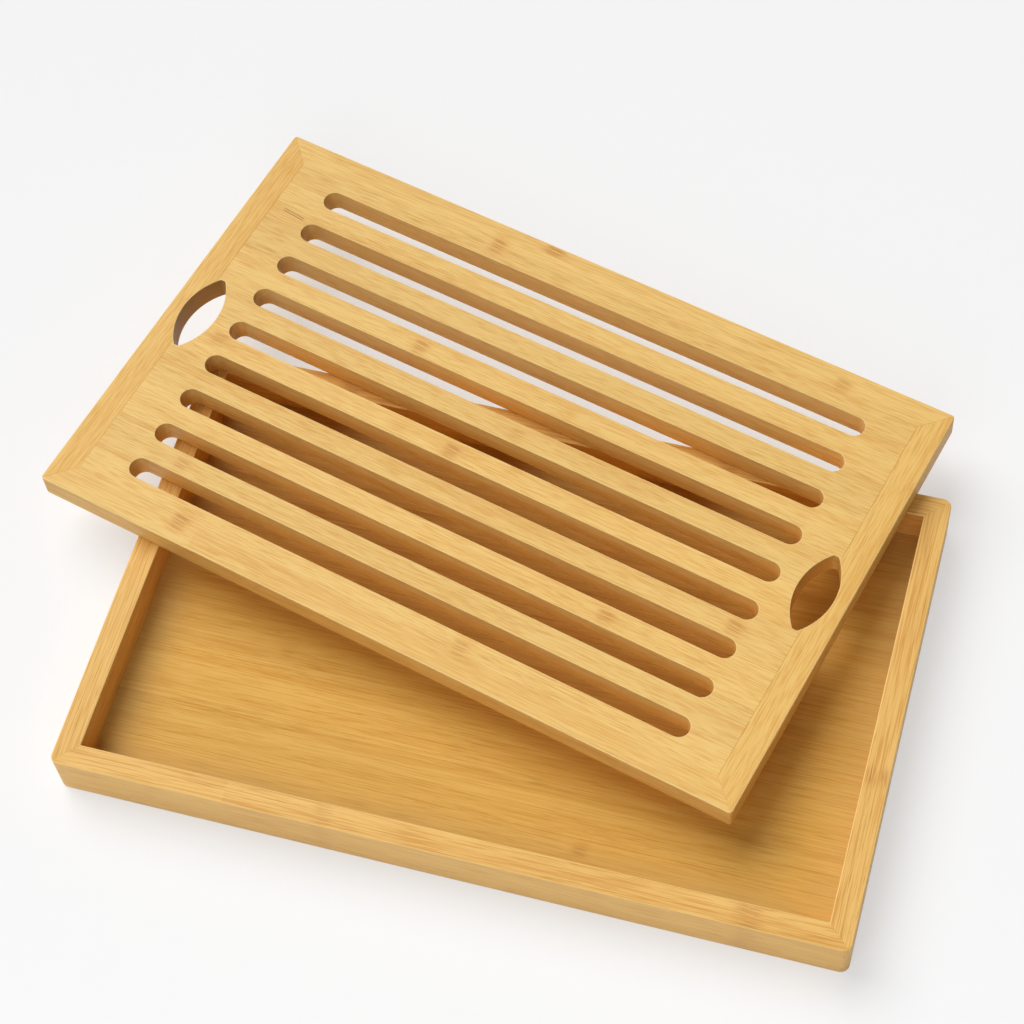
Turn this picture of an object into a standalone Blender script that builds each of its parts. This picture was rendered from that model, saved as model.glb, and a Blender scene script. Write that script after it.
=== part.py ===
"""Bamboo bread board with a crumb tray: a slatted board lies loose and askew on the rim of a shallow tray.

Lengths are in metres and +Z is up. The origin is the middle of the tray's underside, and +X runs along the
board's long side, so that its slots lie along X. The tray is turned under the board.
"""

import math
from dataclasses import dataclass

import bmesh
import bpy

# Tray
TRAY_LENGTH = 0.400
TRAY_DEPTH = 0.250
TRAY_HEIGHT = 0.028
TRAY_WALL = 0.0125
TRAY_CORNER_RADIUS = 0.0045
TRAY_EASE = 0.0006
FLOOR_THICKNESS = 0.007
FLOOR_TONGUE = 0.006
FLOOR_SLAT_COUNT = 9

# Board, which has the tray's outline
BOARD_THICKNESS = 0.014
BOARD_RAIL = 0.0145
BOARD_CORNER_RADIUS = 0.002
BOARD_EASE = 0.0008
SLOT_COUNT = 9
SLOT_WIDTH = 0.0116
SLOT_SIDE_MARGIN = 0.0232
SLOT_END_MARGIN = 0.0375
FINGER_HOLE_WIDTH = 0.020
FINGER_HOLE_TIP = 0.0025
FINGER_HOLE_INSET = 0.00075
FINGER_HOLE_FROM_END = 0.0175

# How the board lies on the tray
TRAY_TURN = math.radians(14.0)
BOARD_CENTRE_X = -0.0535
BOARD_CENTRE_Y = 0.0825

# Fits and drawing
GLUE_GAP = 0.0003
RESTING_GAP = 0.0003
CUTTER_OVERRUN = 0.002
MERGE_DISTANCE = 0.00001
CORNER_STEPS = 4
SLOT_END_STEPS = 8
FINGER_HOLE_STEPS = 14
EASE_STEPS = 2
SHARP_ANGLE = math.radians(30.0)
FLAT_ANGLE = math.radians(0.5)
QUARTER_TURN = math.radians(90.0)
MITRE_ANGLE = math.radians(45.0)

# Worked out from the sizes above
BOARD_LENGTH = TRAY_LENGTH
BOARD_DEPTH = TRAY_DEPTH
BOARD_UNDERSIDE = TRAY_HEIGHT + RESTING_GAP
SLOT_RADIUS = SLOT_WIDTH / 2
SLOT_PITCH = (BOARD_DEPTH - 2 * SLOT_SIDE_MARGIN - SLOT_WIDTH) / (SLOT_COUNT - 1)
SLOT_TIP_X = BOARD_LENGTH / 2 - SLOT_END_MARGIN
FINGER_HOLE_LENGTH = 2 * (SLOT_PITCH - FINGER_HOLE_INSET)
PANEL_HALF_LENGTH = BOARD_LENGTH / 2 - BOARD_RAIL - GLUE_GAP
PANEL_HALF_DEPTH = BOARD_DEPTH / 2 - BOARD_RAIL - GLUE_GAP
FLOOR_LENGTH = TRAY_LENGTH - 2 * TRAY_WALL + 2 * FLOOR_TONGUE
FLOOR_DEPTH = TRAY_DEPTH - 2 * TRAY_WALL + 2 * FLOOR_TONGUE

# Bamboo: sRGB colours and roughness of each kind of piece, and how light each strip is beside the next
BOARD_STAVE_COLOUR = (240, 203, 128)
BOARD_RAIL_COLOUR = (234, 194, 117)
TRAY_RAIL_COLOUR = (224, 176, 98)
TRAY_FLOOR_COLOUR = (212, 161, 86)
BAMBOO_ROUGHNESS = 0.45
STRIP_LIGHTNESS_SHARES = (1.0, 0.95, 0.98, 0.93, 0.99)

# The sides of a frame, each a quarter turn on from the one before
SIDES = ("front", "right", "rear", "left")


@dataclass(frozen=True)
class RailFrame:
    """Four mitred rails around an assembly, standing on its underside."""

    prefix: str
    length: float
    depth: float
    height: float
    rail_width: float
    corner_radius: float
    ease: float
    inner_top_eased: bool
    colour: tuple


BOARD_RAILS = RailFrame(
    prefix="board",
    length=BOARD_LENGTH,
    depth=BOARD_DEPTH,
    height=BOARD_THICKNESS,
    rail_width=BOARD_RAIL,
    corner_radius=BOARD_CORNER_RADIUS,
    ease=BOARD_EASE,
    inner_top_eased=False,
    colour=BOARD_RAIL_COLOUR,
)
TRAY_RAILS = RailFrame(
    prefix="tray",
    length=TRAY_LENGTH,
    depth=TRAY_DEPTH,
    height=TRAY_HEIGHT,
    rail_width=TRAY_WALL,
    corner_radius=TRAY_CORNER_RADIUS,
    ease=TRAY_EASE,
    inner_top_eased=True,
    colour=TRAY_RAIL_COLOUR,
)


def clear_scene():
    for obj in list(bpy.data.objects):
        bpy.data.objects.remove(obj, do_unlink=True)


def new_collection(name):
    collection = bpy.data.collections.new(name)
    bpy.context.scene.collection.children.link(collection)
    return collection


def new_frame(name, location, turn, collection):
    """An empty that carries one assembly's pieces."""
    frame = bpy.data.objects.new(name, None)
    frame.location = location
    frame.rotation_euler.z = turn
    collection.objects.link(frame)
    return frame


def linear(channel):
    """One sRGB channel, 0 to 255, as a linear value."""
    value = channel / 255
    return value / 12.92 if value <= 0.04045 else ((value + 0.055) / 1.055) ** 2.4


def bamboo(piece, colour, lightness=1.0):
    """Gives the piece a bamboo material of its own."""
    material = bpy.data.materials.new(piece.name + "_bamboo")
    material.use_nodes = True
    shader = material.node_tree.nodes["Principled BSDF"]
    shader.inputs["Base Color"].default_value = [linear(channel * lightness) for channel in colour] + [1]
    shader.inputs["Roughness"].default_value = BAMBOO_ROUGHNESS
    shader.inputs["Metallic"].default_value = 0
    piece.data.materials.append(material)


def strip_lightness(index):
    return STRIP_LIGHTNESS_SHARES[index % len(STRIP_LIGHTNESS_SHARES)]


def arc(centre, radius, start, end, steps):
    """Points on an arc about the centre, with both ends."""
    angles = [start + (end - start) * step / steps for step in range(steps + 1)]
    return [(centre[0] + radius * math.cos(a), centre[1] + radius * math.sin(a)) for a in angles]


def prism(name, outline, bottom, top, frame, collection):
    """A mesh object that fills the outline from bottom to top, carried by the frame."""
    curve = bpy.data.curves.new(name, "CURVE")
    curve.dimensions = "2D"
    curve.fill_mode = "BOTH"
    curve.extrude = (top - bottom) / 2
    spline = curve.splines.new("POLY")
    spline.points.add(len(outline) - 1)
    for point, (x, y) in zip(spline.points, outline):
        point.co = (x, y, 0, 1)
    spline.use_cyclic_u = True
    drawing = bpy.data.objects.new(name + "_drawing", curve)
    drawing.location.z = (top + bottom) / 2
    collection.objects.link(drawing)
    bpy.context.view_layer.update()
    graph = bpy.context.evaluated_depsgraph_get()
    mesh = bpy.data.meshes.new_from_object(drawing.evaluated_get(graph))
    mesh.name = name
    shape = bmesh.new()
    shape.from_mesh(mesh)
    bmesh.ops.remove_doubles(shape, verts=shape.verts, dist=MERGE_DISTANCE)
    bmesh.ops.dissolve_limit(shape, angle_limit=FLAT_ANGLE, verts=shape.verts, edges=shape.edges)
    bmesh.ops.recalc_face_normals(shape, faces=shape.faces)
    shape.to_mesh(mesh)
    shape.free()
    mesh.shade_smooth()
    mesh.set_sharp_from_angle(angle=SHARP_ANGLE)
    piece = bpy.data.objects.new(name, mesh)
    piece.matrix_world = drawing.matrix_world
    collection.objects.link(piece)
    bpy.data.objects.remove(drawing, do_unlink=True)
    bpy.data.curves.remove(curve)
    piece.parent = frame
    return piece


def block(name, low, high, frame, collection):
    """A box from its lowest to its highest corner, carried by the frame."""
    size = [top - bottom for bottom, top in zip(low, high)]
    mesh = bpy.data.meshes.new(name)
    shape = bmesh.new()
    bmesh.ops.create_cube(shape, size=1)
    bmesh.ops.scale(shape, vec=size, verts=shape.verts)
    shape.to_mesh(mesh)
    shape.free()
    piece = bpy.data.objects.new(name, mesh)
    piece.location = [(top + bottom) / 2 for bottom, top in zip(low, high)]
    piece.parent = frame
    collection.objects.link(piece)
    return piece


def as_cutter(piece):
    piece.hide_render = True
    piece.display_type = "WIRE"
    return piece


def cut(piece, cutter):
    modifier = piece.modifiers.new("cut_" + cutter.name, "BOOLEAN")
    modifier.operation = "DIFFERENCE"
    modifier.solver = "EXACT"
    modifier.object = cutter


def rail_outline(half_run, reach, width, radius):
    """A mitred rail at a frame's front, with its outer side at y = -reach and round outer corners."""
    slip = math.asin(GLUE_GAP / (2 * radius))
    mitre = MITRE_ANGLE + slip
    across = GLUE_GAP / math.sqrt(2)
    inner_x = half_run - width - across
    inner_y = width - reach
    corner_x = half_run - radius
    corner_y = radius - reach
    left = arc((-corner_x, corner_y), radius, 2 * QUARTER_TURN + mitre, 3 * QUARTER_TURN, CORNER_STEPS)
    right = arc((corner_x, corner_y), radius, -QUARTER_TURN, -mitre, CORNER_STEPS)
    return [(-inner_x, inner_y)] + left + right + [(inner_x, inner_y)]


def ease_long_edges(rail, inner_y, rails):
    """Rounds the rail's outer top and bottom edges, and its inner top edge where the frame asks for it."""
    shape = bmesh.new()
    shape.from_mesh(rail.data)
    weight = shape.edges.layers.float.new("bevel_weight_edge")
    for edge in shape.edges:
        ends = [vertex.co for vertex in edge.verts]
        if abs(ends[0].z - ends[1].z) > MERGE_DISTANCE:
            continue
        inner = [abs(end.y - inner_y) < MERGE_DISTANCE for end in ends]
        on_top = ends[0].z > 0
        if not any(inner) or (all(inner) and on_top and rails.inner_top_eased):
            edge[weight] = 1
    shape.to_mesh(rail.data)
    shape.free()
    bevel = rail.modifiers.new("eased_edges", "BEVEL")
    bevel.limit_method = "WEIGHT"
    bevel.width = rails.ease
    bevel.segments = EASE_STEPS


def make_rails(rails, frame, collection):
    """The frame's rails as objects, by their side."""
    made = {}
    for quarter_turns, side in enumerate(SIDES):
        along_length = side in ("front", "rear")
        half_run = (rails.length if along_length else rails.depth) / 2
        reach = (rails.depth if along_length else rails.length) / 2
        outline = rail_outline(half_run, reach, rails.rail_width, rails.corner_radius)
        rail = prism(f"{rails.prefix}_{side}_rail", outline, 0, rails.height, frame, collection)
        rail.rotation_euler.z = quarter_turns * QUARTER_TURN
        ease_long_edges(rail, rails.rail_width - reach, rails)
        bamboo(rail, rails.colour)
        made[side] = rail
    return made


def slot_line(index):
    """The y of a slot's centre line, counted from the front."""
    return (index - (SLOT_COUNT - 1) / 2) * SLOT_PITCH


def slotted_side(line, side):
    """A stave's long side beside a slot, from left to right; side is 1 above the slot and -1 below it."""
    slip = math.asin(GLUE_GAP / 2 / SLOT_RADIUS)
    end_x = SLOT_TIP_X - SLOT_RADIUS
    right_end = arc((end_x, 0), SLOT_RADIUS, QUARTER_TURN, slip, SLOT_END_STEPS)
    left_end = [(-x, y) for x, y in reversed(right_end)]
    edge_y = GLUE_GAP / 2
    points = [(-PANEL_HALF_LENGTH, edge_y)] + left_end + right_end + [(PANEL_HALF_LENGTH, edge_y)]
    return [(x, line + side * y) for x, y in points]


def stave_outline(index):
    """A stave lies between two slots' centre lines, or between the last one and the rail."""
    if index == 0:
        low = [(-PANEL_HALF_LENGTH, -PANEL_HALF_DEPTH), (PANEL_HALF_LENGTH, -PANEL_HALF_DEPTH)]
    else:
        low = slotted_side(slot_line(index - 1), 1)
    if index == SLOT_COUNT:
        high = [(-PANEL_HALF_LENGTH, PANEL_HALF_DEPTH), (PANEL_HALF_LENGTH, PANEL_HALF_DEPTH)]
    else:
        high = slotted_side(slot_line(index), -1)
    return low + high[::-1]


def finger_hole_outline(centre_x):
    """Two shallow arcs that meet in short blunt tips."""
    half_length = FINGER_HOLE_LENGTH / 2
    rise = (FINGER_HOLE_WIDTH - FINGER_HOLE_TIP) / 2
    radius = (rise**2 + half_length**2) / (2 * rise)
    half_angle = math.asin(half_length / radius)
    side_x = FINGER_HOLE_WIDTH / 2 - radius
    right = arc((side_x, 0), radius, -half_angle, half_angle, FINGER_HOLE_STEPS)
    left = [(-x, -y) for x, y in right]
    return [(centre_x + x, y) for x, y in right + left]


def make_finger_hole_cutters(frame, cutters):
    hole_x = BOARD_LENGTH / 2 - FINGER_HOLE_FROM_END
    low = -CUTTER_OVERRUN
    high = BOARD_THICKNESS + CUTTER_OVERRUN
    return {
        side: as_cutter(prism(f"{side}_finger_hole", finger_hole_outline(x), low, high, frame, cutters))
        for side, x in (("left", -hole_x), ("right", hole_x))
    }


def make_board(parts, cutters):
    """The slatted board: staves edge to edge between four mitred rails, with a finger hole at each end."""
    frame = new_frame("board_frame", (BOARD_CENTRE_X, BOARD_CENTRE_Y, BOARD_UNDERSIDE), 0, parts)
    holes = make_finger_hole_cutters(frame, cutters)
    rails = make_rails(BOARD_RAILS, frame, parts)
    for side, hole in holes.items():
        cut(rails[side], hole)
    for index in range(SLOT_COUNT + 1):
        outline = stave_outline(index)
        stave = prism(f"board_stave_{index + 1}", outline, 0, BOARD_THICKNESS, frame, parts)
        bamboo(stave, BOARD_STAVE_COLOUR, strip_lightness(index))
        low_y = min(y for x, y in outline)
        high_y = max(y for x, y in outline)
        if low_y < FINGER_HOLE_LENGTH / 2 and high_y > -FINGER_HOLE_LENGTH / 2:
            for hole in holes.values():
                cut(stave, hole)


def make_floor(frame, parts):
    """Edge-glued slats, flush with the rails' underside."""
    slat_depth = (FLOOR_DEPTH - (FLOOR_SLAT_COUNT - 1) * GLUE_GAP) / FLOOR_SLAT_COUNT
    for index in range(FLOOR_SLAT_COUNT):
        low_y = -FLOOR_DEPTH / 2 + index * (slat_depth + GLUE_GAP)
        low = (-FLOOR_LENGTH / 2, low_y, 0)
        high = (FLOOR_LENGTH / 2, low_y + slat_depth, FLOOR_THICKNESS)
        slat = block(f"tray_floor_slat_{index + 1}", low, high, frame, parts)
        bamboo(slat, TRAY_FLOOR_COLOUR, strip_lightness(index))


def make_tray(parts, cutters):
    """The crumb tray: four mitred rails, rebated underneath for the floor."""
    frame = new_frame("tray_frame", (0, 0, 0), TRAY_TURN, parts)
    half_length = FLOOR_LENGTH / 2 + GLUE_GAP
    half_depth = FLOOR_DEPTH / 2 + GLUE_GAP
    low = (-half_length, -half_depth, -CUTTER_OVERRUN)
    high = (half_length, half_depth, FLOOR_THICKNESS + GLUE_GAP)
    rebate = as_cutter(block("floor_rebate", low, high, frame, cutters))
    for rail in make_rails(TRAY_RAILS, frame, parts).values():
        cut(rail, rebate)
    make_floor(frame, parts)


def main():
    clear_scene()
    parts = new_collection("bread_board_with_crumb_tray")
    cutters = new_collection("cutters")
    cutters.hide_render = True
    make_tray(parts, cutters)
    make_board(parts, cutters)


main()
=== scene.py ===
"""Bamboo bread board lying loose and askew on its crumb tray.

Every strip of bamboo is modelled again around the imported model, in the same frame and in metres. Each stands
for the CAD node of its place, closes the CAD's glue gaps to a hairline, and has edges eased as by a router.
"""

import logging
import math
from collections.abc import Callable, Sequence
from dataclasses import dataclass, field, replace
from enum import Enum

import bmesh
import bpy
from mathutils import Matrix, Vector


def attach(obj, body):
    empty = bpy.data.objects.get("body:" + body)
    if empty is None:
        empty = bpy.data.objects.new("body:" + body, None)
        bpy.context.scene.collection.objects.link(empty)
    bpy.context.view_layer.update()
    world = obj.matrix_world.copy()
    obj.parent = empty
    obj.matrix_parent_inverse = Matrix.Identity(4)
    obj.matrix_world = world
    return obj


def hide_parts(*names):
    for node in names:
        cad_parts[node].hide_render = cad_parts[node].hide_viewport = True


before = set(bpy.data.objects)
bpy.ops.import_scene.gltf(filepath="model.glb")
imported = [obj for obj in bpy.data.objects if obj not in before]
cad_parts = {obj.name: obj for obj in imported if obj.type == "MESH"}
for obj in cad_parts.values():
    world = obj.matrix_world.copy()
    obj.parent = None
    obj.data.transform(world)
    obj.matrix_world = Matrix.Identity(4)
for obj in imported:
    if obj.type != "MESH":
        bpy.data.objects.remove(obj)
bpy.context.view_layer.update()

LOG = logging.getLogger("bread_board")

TOUCH = 0.00001
OVERRUN = 0.003
SMOOTH_ANGLE = math.radians(40.0)
QUARTER_TURN = math.radians(90.0)
EASED_FACE = (0.12, 0.985)
# Eased faces get a paler colour that is partly wear and partly a painted highlight.
EASED = "eased"
# Faces darkened by dust at the glued joints, and by painted shade in the finger holes and on the board's outer
# sides.
SOIL_AND_SHADE = "soil_and_shade"
# Faces made paler: the slot walls, which take less oil, and the tray's outer sides, where the paleness is a
# painted reflection of the white floor.
ROUTED_AND_REFLECTION = "routed_and_reflection"
JOINT_SOIL = 0.15
SPLIT_COLOUR = (150, 106, 46)
# Painted shade along the tray floor's walls.
WALL_SHADE_COLOUR = (185, 158, 98)
# Dust colour at the glued joints, also used as painted shade in the finger holes and on the board's outer sides.
SOIL_AND_SHADE_COLOUR = (166, 118, 44)

Piece = bpy.types.Object
Socket = bpy.types.NodeSocket
Source = Socket | float | tuple[float, ...]
Sources = dict[str | int, Source]
EdgeTest = Callable[[Vector, Vector], bool]
PointTest = Callable[[Vector], bool]
Pair = tuple[float, float]
Point = tuple[float, float, float]
Colour = tuple[int, int, int]


class Side(Enum):
    """A side of a frame of rails, by the direction that it faces in the assembly's own plan."""

    FRONT = (0.0, -1.0)
    RIGHT = (1.0, 0.0)
    REAR = (0.0, 1.0)
    LEFT = (-1.0, 0.0)

    @property
    def outward(self) -> Vector:
        """The direction that the side faces."""
        return Vector((*self.value, 0.0))

    @property
    def along(self) -> Vector:
        """The direction in which a rail on this side runs."""
        return Vector((-self.value[1], self.value[0], 0.0))

    @property
    def runs_along(self) -> bool:
        """Whether a rail on this side runs along the assembly's length."""
        return self.value[0] == 0.0

    @property
    def word(self) -> str:
        """The side's name in a piece's name."""
        return self.name.lower()


class Grain(Enum):
    """Which way a piece's fibres run in its assembly's own plan, as a turn about Z."""

    ALONG = 0.0
    ACROSS = QUARTER_TURN


def select_only(piece: Piece) -> None:
    """Makes the piece the active object and the only selected one.

    Args:
        piece: The piece.
    """
    bpy.ops.object.select_all(action="DESELECT")
    piece.select_set(True)
    bpy.context.view_layer.objects.active = piece


def named(name: str) -> Piece:
    """Names the newest object and writes its place into its mesh.

    Args:
        name: Its name.

    Returns:
        The object.
    """
    piece = bpy.context.active_object
    piece.name = piece.data.name = name
    bpy.ops.object.transform_apply(location=True, rotation=True, scale=True)
    return piece


def add_block(name: str, low: Sequence[float], high: Sequence[float]) -> Piece:
    """Adds a box at its size and place.

    Args:
        name: The new object's name.
        low: The box's lowest corner.
        high: The box's highest corner.

    Returns:
        The box, with its place in its mesh.
    """
    bpy.ops.object.select_all(action="DESELECT")
    first, last = Vector(low), Vector(high)
    bpy.ops.mesh.primitive_cube_add(size=1.0, location=(first + last) / 2, scale=last - first)
    return named(name)


def add_rod(name: str, centre: Pair, radius: float, low: float, high: float, sides: int) -> Piece:
    """Adds an upright rod at its size and place.

    Args:
        name: The new object's name.
        centre: The x and y of the rod's middle.
        radius: The rod's radius.
        low: The z of its lower end.
        high: The z of its upper end.
        sides: How many flat sides the rod has.

    Returns:
        The rod, with its place in its mesh.
    """
    bpy.ops.object.select_all(action="DESELECT")
    bpy.ops.mesh.primitive_cylinder_add(
        vertices=sides, radius=radius, depth=high - low, location=(*centre, (low + high) / 2)
    )
    return named(name)


def copy_of(source: Piece, name: str) -> Piece:
    """Copies an object with a mesh of its own.

    Args:
        source: The object to copy.
        name: The copy's name.

    Returns:
        The copy.
    """
    select_only(source)
    bpy.ops.object.duplicate(linked=False)
    return named(name)


def discard(*pieces: Piece) -> None:
    """Deletes shapes that only served to cut others."""
    for piece in pieces:
        bpy.data.objects.remove(piece, do_unlink=True)


def round_edges(
    piece: Piece, test: EdgeTest, radius: float, segments: int, at_joint: bool = False
) -> None:
    """Rounds the edges that pass a test.

    Args:
        piece: The piece to work on.
        test: Says from an edge's two ends whether it is rounded.
        radius: The radius of the rounding.
        segments: How many flats the rounding has.
        at_joint: Whether the new faces line a glued joint, where dust and oil darken them a little.
    """
    select_only(piece)
    bpy.ops.object.mode_set(mode="EDIT")
    bpy.ops.mesh.select_mode(type="EDGE")
    bpy.ops.mesh.select_all(action="DESELECT")
    shape = bmesh.from_edit_mesh(piece.data)
    for edge in shape.edges:
        edge.select_set(test(edge.verts[0].co, edge.verts[1].co))
    bmesh.update_edit_mesh(piece.data)
    bpy.ops.mesh.bevel(offset=radius, segments=segments, affect="EDGES", clamp_overlap=False)
    if at_joint:
        shape = bmesh.from_edit_mesh(piece.data)
        layers = shape.faces.layers.float
        mark = layers.get(SOIL_AND_SHADE) or layers.new(SOIL_AND_SHADE)
        for face in shape.faces:
            if face.select:
                face[mark] = JOINT_SOIL
        bmesh.update_edit_mesh(piece.data)
    bpy.ops.mesh.select_all(action="SELECT")
    bpy.ops.mesh.remove_doubles(threshold=TOUCH / 2)
    bpy.ops.object.mode_set(mode="OBJECT")


def saw(piece: Piece, point: Vector, away: Vector) -> None:
    """Saws a piece along a plane and drops one part.

    Args:
        piece: The piece to work on.
        point: A point on the plane.
        away: The plane's normal, towards the part that is dropped.
    """
    select_only(piece)
    bpy.ops.object.mode_set(mode="EDIT")
    bpy.ops.mesh.select_all(action="SELECT")
    bpy.ops.mesh.bisect(plane_co=point, plane_no=away, use_fill=True, clear_outer=True)
    bpy.ops.object.mode_set(mode="OBJECT")


def boolean(piece: Piece, tool: Piece, operation: str) -> None:
    """Cuts a piece by another shape, or keeps what the two share.

    Args:
        piece: The piece to work on.
        tool: The shape that cuts it.
        operation: DIFFERENCE or INTERSECT.
    """
    select_only(piece)
    modifier = piece.modifiers.new("cut", "BOOLEAN")
    modifier.operation = operation
    modifier.solver = "EXACT"
    modifier.object = tool
    bpy.ops.object.modifier_apply(modifier=modifier.name)


def face_values(piece: Piece, name: str) -> bpy.types.Attribute:
    """Finds or makes an attribute that holds a number for each face."""
    attributes = piece.data.attributes
    return attributes[name] if name in attributes else attributes.new(name, "FLOAT", "FACE")


def mark_walls(piece: Piece, name: str, value: float, test: PointTest) -> None:
    """Sets a number on the upright faces that pass a test.

    Args:
        piece: The piece to work on.
        name: The attribute that holds the number.
        value: The number.
        test: Says whether a point lies on such a face.
    """
    values = face_values(piece, name)
    vertices = piece.data.vertices
    for face in piece.data.polygons:
        if abs(face.normal.z) < EASED_FACE[0] and all(test(vertices[index].co) for index in face.vertices):
            values.data[face.index].value = value


def settle(piece: Piece, place: Sequence[float], turn: float) -> None:
    """Smooths a finished piece, marks its eased faces and writes its place into its mesh.

    Args:
        piece: The piece to work on.
        place: Where the assembly's own origin lies.
        turn: The assembly's turn about Z.
    """
    select_only(piece)
    piece.location = place
    piece.rotation_euler.z = turn
    bpy.ops.object.transform_apply(location=True, rotation=True, scale=True)
    bpy.ops.object.shade_smooth_by_angle(angle=SMOOTH_ANGLE)
    weighted = piece.modifiers.new("flat_faces", "WEIGHTED_NORMAL")
    weighted.keep_sharp = True
    bpy.ops.object.modifier_apply(modifier=weighted.name)
    for name in (EASED, SOIL_AND_SHADE, ROUTED_AND_REFLECTION):
        face_values(piece, name)
    attributes = piece.data.attributes
    eased, soil_and_shade = attributes[EASED], attributes[SOIL_AND_SHADE]
    lowest, highest = EASED_FACE
    for face in piece.data.polygons:
        is_eased = lowest < abs(face.normal.z) < highest and soil_and_shade.data[face.index].value == 0.0
        eased.data[face.index].value = float(is_eased)


def between(value: float, middle: float, reach: float) -> bool:
    """Whether a value lies within reach of the middle."""
    return abs(value - middle) <= reach + TOUCH


def upright(a: Vector, b: Vector) -> bool:
    """Whether an edge isn't level."""
    return abs(a.z - b.z) > TOUCH


def both_ends(test: PointTest) -> EdgeTest:
    """Turns a test for points into one that both ends of an edge have to pass."""
    return lambda a, b: test(a) and test(b)


def linear(colour: Colour) -> tuple[float, ...]:
    """Turns an sRGB colour of 0 to 255 into the linear colour, with alpha, that a socket takes."""
    shares = [channel / 255.0 for channel in colour]
    return (*(s / 12.92 if s <= 0.04045 else ((s + 0.055) / 1.055) ** 2.4 for s in shares), 1.0)


@dataclass(frozen=True)
class Lumps:
    """Noise drawn out along the grain: its lumps per metre along and across it, and how fine it gets."""

    along: float
    across: float
    detail: float


DRIFT = Lumps(7.0, 35.0, 1.0)
BROAD = Lumps(9.0, 60.0, 2.0)
CLUSTER = Lumps(10.0, 90.0, 1.0)
STREAK = Lumps(70.0, 1900.0, 2.0)
FIBRE = Lumps(12.0, 1200.0, 3.0)
FINE = Lumps(45.0, 2300.0, 2.0)
KNUCKLE_RIM = Lumps(120.0, 380.0, 2.0)
KNUCKLE_DASH = Lumps(90.0, 1100.0, 1.0)
MARGIN = Lumps(20.0, 90.0, 2.0)
SPECKLE = Lumps(60.0, 60.0, 2.0)
NOISE_ROUGHNESS = 0.55
PATTERN_START = (0.11, 0.05)
PATTERN_STEP = (0.37, 0.083)


class NodeBench:
    """Adds and joins the nodes of one node tree."""

    def __init__(self, tree: bpy.types.NodeTree) -> None:
        """Takes the tree to work on."""
        self.tree = tree

    def add(self, kind: str, sources: Sources | None = None, **settings: object) -> bpy.types.Node:
        """Adds a node.

        Args:
            kind: The node's type, without the words ShaderNode.
            sources: Outputs or values for its inputs.
            settings: Properties of the node and their values.

        Returns:
            The node.
        """
        node = self.tree.nodes.new("ShaderNode" + kind)
        for name, value in settings.items():
            setattr(node, name, value)
        self.feed(node, sources or {})
        return node

    def feed(self, node: bpy.types.Node, sources: Sources) -> None:
        """Joins inputs of a node to outputs, or sets them to values.

        Args:
            node: The node.
            sources: The outputs or values, by the input's name or number.
        """
        for key, source in sources.items():
            if isinstance(source, bpy.types.NodeSocket):
                self.tree.links.new(source, node.inputs[key])
            else:
                node.inputs[key].default_value = source

    def math(self, operation: str, *numbers: Source) -> Socket:
        """Works out a number.

        Args:
            operation: The sum to do.
            numbers: What it is done with.

        Returns:
            The result.
        """
        return self.add("Math", dict(enumerate(numbers)), operation=operation).outputs["Value"]

    def times(self, first: Source, second: Source) -> Socket:
        """The product of two numbers."""
        return self.math("MULTIPLY", first, second)

    def centred(self, value: Source) -> Socket:
        """A value less a half, so that noise goes both ways from zero."""
        return self.math("SUBTRACT", value, 0.5)

    def face_share(self, name: str) -> Socket:
        """The number that an attribute holds for the face."""
        return self.add("Attribute", attribute_name=name).outputs["Fac"]

    def vector(self, operation: str, first: Source, second: Source) -> Socket:
        """Works out a vector, or a number from two vectors.

        Args:
            operation: The sum to do.
            first: The first vector.
            second: The second vector.

        Returns:
            The result.
        """
        node = self.add("VectorMath", {0: first, 1: second}, operation=operation)
        return node.outputs["Value" if operation == "DOT_PRODUCT" else "Vector"]

    def parts(self, vector: Socket) -> list[Socket]:
        """Splits a vector into its three numbers."""
        return list(self.add("SeparateXYZ", {"Vector": vector}).outputs)

    def fade(self, value: Source, start: Source, end: Source, low: float = 0.0, high: float = 1.0) -> Socket:
        """Goes smoothly from one number to another as a value goes from start to end.

        Args:
            value: The value that is followed.
            start: The value at which the fade starts.
            end: The value at which the fade ends.
            low: The result at the start.
            high: The result at the end.

        Returns:
            The result.
        """
        sources = dict(enumerate((value, start, end, low, high)))
        return self.add("MapRange", sources, interpolation_type="SMOOTHSTEP").outputs["Result"]

    def noise(self, vector: Socket, lumps: Lumps, colour: bool = False) -> Socket:
        """Noise that is drawn out along the grain.

        Args:
            vector: Grain coordinates in metres.
            lumps: The noise's lumps.
            colour: Whether three numbers are wanted.

        Returns:
            The noise.
        """
        place = self.vector("MULTIPLY", vector, (lumps.along, lumps.across, lumps.across))
        sources = {"Vector": place, "Scale": 1.0, "Detail": lumps.detail, "Roughness": NOISE_ROUGHNESS}
        return self.add("TexNoise", sources).outputs["Color" if colour else "Fac"]

    def mix(self, share: Source, first: Source, second: Source) -> Socket:
        """Mixes two colours.

        Args:
            share: How much of the second colour there is.
            first: The first colour.
            second: The second colour.

        Returns:
            The mixed colour.
        """
        return self.add("Mix", {"Factor": share, 6: first, 7: second}, data_type="RGBA").outputs[2]


@dataclass(frozen=True)
class Knuckle:
    """A knuckle of the cane that crosses a strip, placed in the assembly's own plan."""

    x: float
    y: float
    half_width: float = 0.004
    half_length: float = 0.0032
    strength: float = 1.0
    slant: float = 0.05


@dataclass(frozen=True)
class Split:
    """A pair of hair cracks along the grain, placed in the assembly's own plan."""

    x: float
    y: float
    half_length: float
    gap: float = 0.0013
    slant: float = 0.0


@dataclass(frozen=True)
class PieceLook:
    """What sets one piece's bamboo apart: a tone, a place in the pattern, its knuckles and its splits."""

    tone: float
    shift: Point
    grain: Grain
    place: Point
    turn: float
    knuckles: tuple[Knuckle, ...]
    splits: tuple[Split, ...]

    @property
    def angle(self) -> float:
        """The turn of the fibres about Z."""
        return self.turn + self.grain.value


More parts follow.
